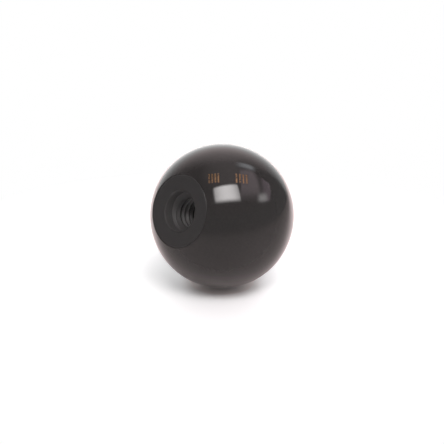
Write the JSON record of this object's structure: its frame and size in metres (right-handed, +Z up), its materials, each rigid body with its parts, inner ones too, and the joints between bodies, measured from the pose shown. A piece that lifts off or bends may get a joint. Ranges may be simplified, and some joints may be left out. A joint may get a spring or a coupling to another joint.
{
  "type": "ball knob",
  "caption": "Black moulded ball knob with a round flat seat, a recessed mouth and a threaded blind bore for the end of a lever.",
  "frame": {"origin": "centre of the flat seat, on the bore's axis", "axes": "-Y out of the bore's mouth towards the lever, +Y along the bore's axis into the ball, +Z up"},
  "size_m": [0.038, 0.0355, 0.038],
  "materials": {
    "black_phenolic": "buffed gloss on the ball, plain as moulded in the seat and the bore"
  },
  "bodies": {
    "root": {"ball_knob": "black_phenolic"}
  },
  "joints": []
}
